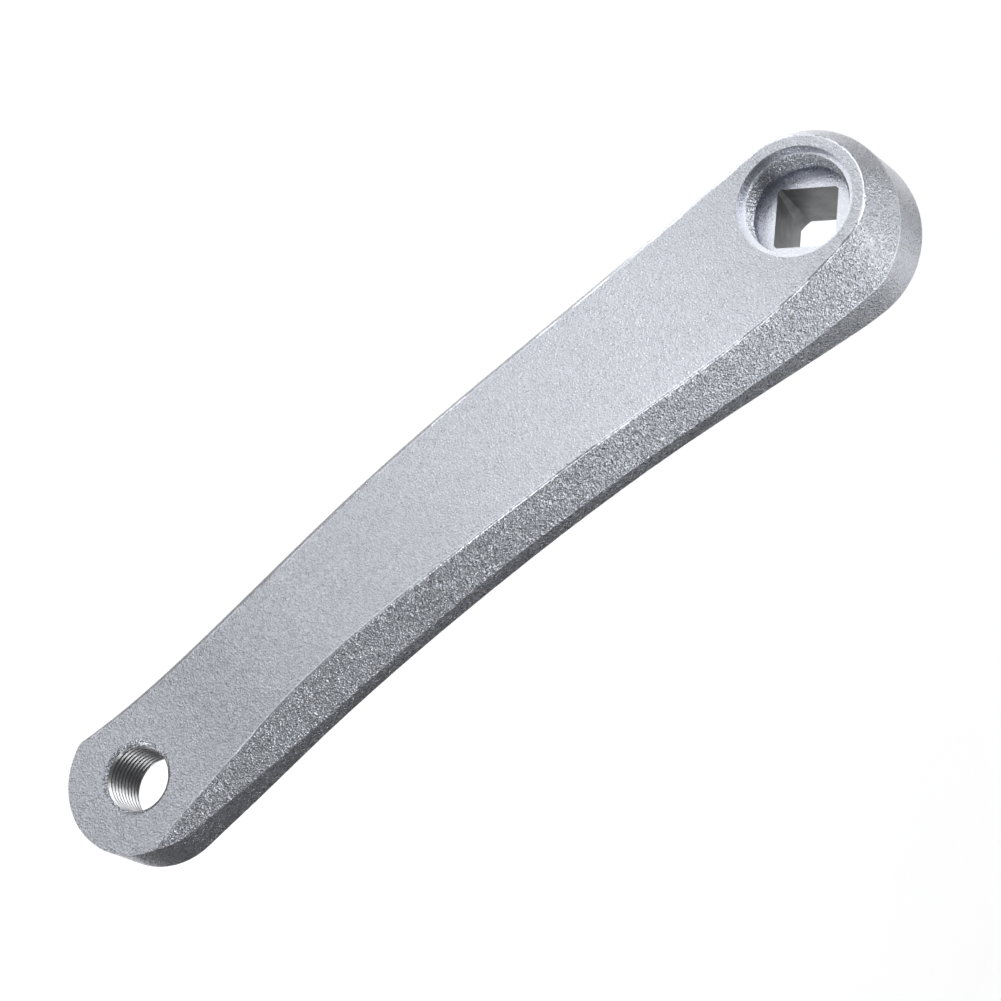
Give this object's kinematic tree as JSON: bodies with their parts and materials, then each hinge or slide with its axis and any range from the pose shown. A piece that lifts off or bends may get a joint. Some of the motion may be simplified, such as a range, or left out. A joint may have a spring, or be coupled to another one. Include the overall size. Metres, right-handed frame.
{
  "type": "bicycle crank arm",
  "caption": "Left-hand bicycle crank arm: bowed, bevelled bar with a square tapered socket and puller thread at one end and a threaded pedal eye at the other.",
  "frame": {"origin": "centre of the boss's back face, on the axis of the bottom-bracket spindle", "axes": "+X along the arm to the pedal eye, +Z along the spindle axis out of the boss's outer face, away from the frame"},
  "size_m": [0.2053, 0.0422, 0.0442],
  "materials": {
    "crank_arm": "satin silver paint with a fine sparkle; bare machined metal in the holes"
  },
  "bodies": {
    "root": {"crank_arm": "crank_arm"}
  },
  "joints": []
}
